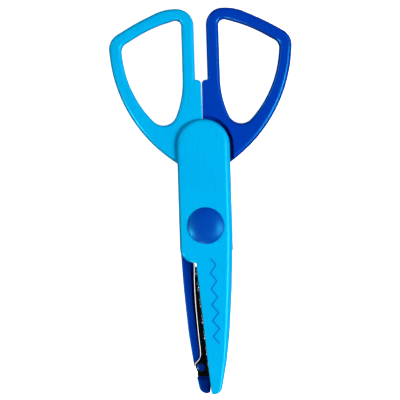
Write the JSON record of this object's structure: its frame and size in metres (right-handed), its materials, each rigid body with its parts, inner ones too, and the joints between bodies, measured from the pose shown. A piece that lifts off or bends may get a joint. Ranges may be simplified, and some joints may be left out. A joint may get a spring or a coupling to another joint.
{
  "type": "decorative edge scissors",
  "caption": "Craft scissors with two closed finger loops, plastic covers over a riveted pivot, and pressed zigzag blades that cut a decorative paper edge.",
  "frame": {"origin": "centre of the flush rear cap's flat face, on the pivot axis, at the level the closed scissors rest on", "axes": "+Z along the pivot axis out of the domed front cap, +Y along the scissors' length towards the finger loops, +X completes the frame, towards the rear half's loop"},
  "size_m": [0.0756, 0.1596, 0.0137],
  "materials": {
    "light_blue_moulding": "moulded ABS, satin gloss",
    "dark_blue_moulding": "moulded ABS, satin gloss",
    "dark_blue_button": "moulded ABS, satin gloss",
    "light_blue_button": "moulded ABS, satin gloss",
    "blade_steel": "pressed and polished stainless steel",
    "pivot_steel": "plated steel"
  },
  "bodies": {
    "rear_half_body": {"rear_half": "dark_blue_moulding", "rear_blade": "blade_steel", "rear_tip_peg": "dark_blue_moulding", "rear_heel_peg": "dark_blue_moulding", "rear_washer": "pivot_steel", "rear_cap": "light_blue_button", "pivot_rivet": "pivot_steel"},
    "front_half_body": {"front_half": "light_blue_moulding", "front_blade": "blade_steel", "front_tip_peg": "light_blue_moulding", "front_heel_peg": "light_blue_moulding", "front_cap": "dark_blue_button", "spring_washer": "pivot_steel", "flat_washer": "pivot_steel"}
  },
  "joints": [
    {"name": "pivot", "type": "hinge", "parent": "rear_half_body", "child": "front_half_body", "pos_m": [0, 0, 0.006], "axis": [0, 0, 1], "range_deg": [0, 45]}
  ]
}
